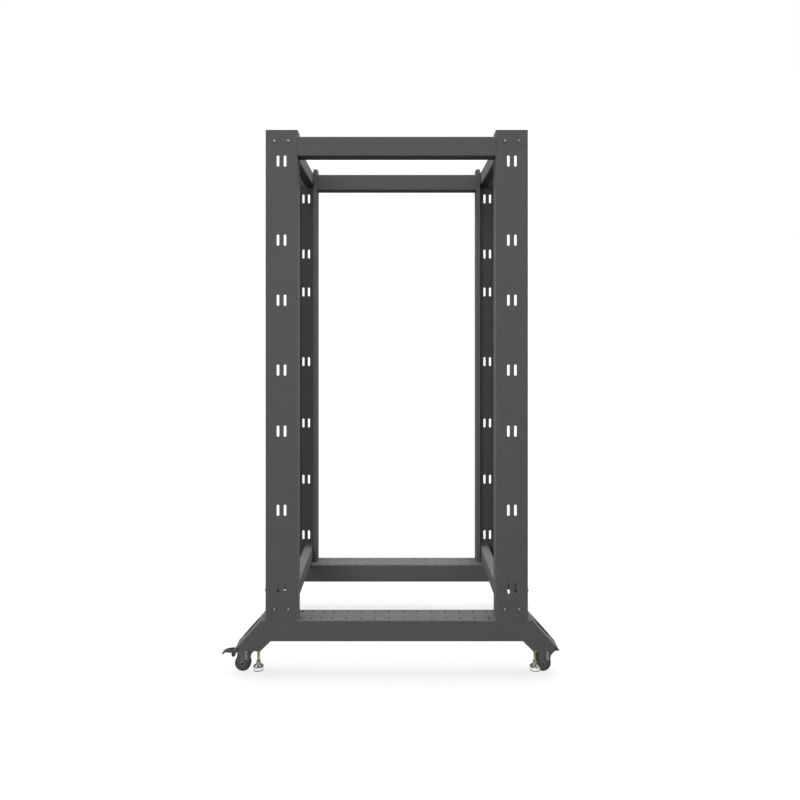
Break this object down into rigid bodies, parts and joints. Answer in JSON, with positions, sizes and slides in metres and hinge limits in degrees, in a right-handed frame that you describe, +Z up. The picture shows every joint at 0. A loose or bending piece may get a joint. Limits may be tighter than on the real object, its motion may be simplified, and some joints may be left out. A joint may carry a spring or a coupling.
{
  "type": "four post open frame rack",
  "caption": "Open frame rack of lipped channel posts on folded base beams with sloped legs, joined by box beams, with square rail holes, casters and levelling feet.",
  "frame": {"origin": "on the floor, midway between the four posts", "axes": "+X to the rear of the rack (the end without brake pedals), +Y to its left side, +Z up"},
  "size_m": [1.043, 0.5588, 1.6709],
  "materials": {
    "frame_paint": "fine textured dark grey powder coat",
    "caster_metal": "black coated pressed steel",
    "pedal_metal": "black coated pressed steel",
    "wheel_tread": "dull black",
    "zinc_steel": "bright zinc plate with a yellow cast"
  },
  "bodies": {
    "frame": {"post_front_right": "frame_paint", "caster_plate_front_right": "caster_metal", "foot_nut_front_right": "zinc_steel", "post_rear_right": "frame_paint", "caster_plate_rear_right": "caster_metal", "foot_nut_rear_right": "zinc_steel", "post_front_left": "frame_paint", "caster_plate_front_left": "caster_metal", "foot_nut_front_left": "zinc_steel", "post_rear_left": "frame_paint", "caster_plate_rear_left": "caster_metal", "foot_nut_rear_left": "zinc_steel", "side_top_beam_right": "frame_paint", "base_beam_right": "frame_paint", "side_top_beam_left": "frame_paint", "base_beam_left": "frame_paint", "cross_beam_bottom_front": "frame_paint", "cross_beam_bottom_rear": "frame_paint", "cross_beam_top_front": "frame_paint", "cross_beam_top_rear": "frame_paint"},
    "caster_front_right": {"caster_fork_front_right": "caster_metal"},
    "wheel_front_right": {"caster_wheel_front_right": "wheel_tread"},
    "foot_front_right": {"foot_pad_front_right": "zinc_steel", "foot_stud_front_right": "zinc_steel"},
    "pedal_front_right": {"brake_pedal_front_right": "pedal_metal"},
    "caster_rear_right": {"caster_fork_rear_right": "caster_metal"},
    "wheel_rear_right": {"caster_wheel_rear_right": "wheel_tread"},
    "foot_rear_right": {"foot_pad_rear_right": "zinc_steel", "foot_stud_rear_right": "zinc_steel"},
    "caster_front_left": {"caster_fork_front_left": "caster_metal"},
    "wheel_front_left": {"caster_wheel_front_left": "wheel_tread"},
    "foot_front_left": {"foot_pad_front_left": "zinc_steel", "foot_stud_front_left": "zinc_steel"},
    "pedal_front_left": {"brake_pedal_front_left": "pedal_metal"},
    "caster_rear_left": {"caster_fork_rear_left": "caster_metal"},
    "wheel_rear_left": {"caster_wheel_rear_left": "wheel_tread"},
    "foot_rear_left": {"foot_pad_rear_left": "zinc_steel", "foot_stud_rear_left": "zinc_steel"}
  },
  "joints": [
    {"name": "swivel_front_right", "type": "hinge", "parent": "frame", "child": "caster_front_right", "pos_m": [-0.467, -0.224, 0.08], "axis": [0, 0, 1], "range_deg": [-188, 106]},
    {"name": "wheel_spin_front_right", "type": "hinge", "parent": "caster_front_right", "child": "wheel_front_right", "pos_m": [-0.479, -0.224, 0.025], "axis": [0, 1, 0], "continuous": true},
    {"name": "pedal_front_right", "type": "hinge", "parent": "caster_front_right", "child": "pedal_front_right", "pos_m": [-0.479, -0.224, 0.062], "axis": [0, 1, 0], "range_deg": [0, 9]},
    {"name": "foot_screw_front_right", "type": "slide", "parent": "frame", "child": "foot_front_right", "axis": [0, 0, 1], "range_m": [-0.03, 0.008]},
    {"name": "swivel_rear_right", "type": "hinge", "parent": "frame", "child": "caster_rear_right", "pos_m": [0.467, -0.224, 0.08], "axis": [0, 0, 1], "continuous": true},
    {"name": "wheel_spin_rear_right", "type": "hinge", "parent": "caster_rear_right", "child": "wheel_rear_right", "pos_m": [0.455, -0.224, 0.025], "axis": [0, 1, 0], "continuous": true},
    {"name": "foot_screw_rear_right", "type": "slide", "parent": "frame", "child": "foot_rear_right", "axis": [0, 0, 1], "range_m": [-0.03, 0.008]},
    {"name": "swivel_front_left", "type": "hinge", "parent": "frame", "child": "caster_front_left", "pos_m": [-0.467, 0.224, 0.08], "axis": [0, 0, 1], "range_deg": [-284, 9]},
    {"name": "wheel_spin_front_left", "type": "hinge", "parent": "caster_front_left", "child": "wheel_front_left", "pos_m": [-0.455, 0.224, 0.025], "axis": [0, 1, 0], "continuous": true},
    {"name": "pedal_front_left", "type": "hinge", "parent": "caster_front_left", "child": "pedal_front_left", "pos_m": [-0.455, 0.224, 0.062], "axis": [0, -1, 0], "range_deg": [0, 9]},
    {"name": "foot_screw_front_left", "type": "slide", "parent": "frame", "child": "foot_front_left", "axis": [0, 0, 1], "range_m": [-0.03, 0.008]},
    {"name": "swivel_rear_left", "type": "hinge", "parent": "frame", "child": "caster_rear_left", "pos_m": [0.467, 0.224, 0.08], "axis": [0, 0, 1], "continuous": true},
    {"name": "wheel_spin_rear_left", "type": "hinge", "parent": "caster_rear_left", "child": "wheel_rear_left", "pos_m": [0.455, 0.224, 0.025], "axis": [0, 1, 0], "continuous": true},
    {"name": "foot_screw_rear_left", "type": "slide", "parent": "frame", "child": "foot_rear_left", "axis": [0, 0, 1], "range_m": [-0.03, 0.008]}
  ]
}
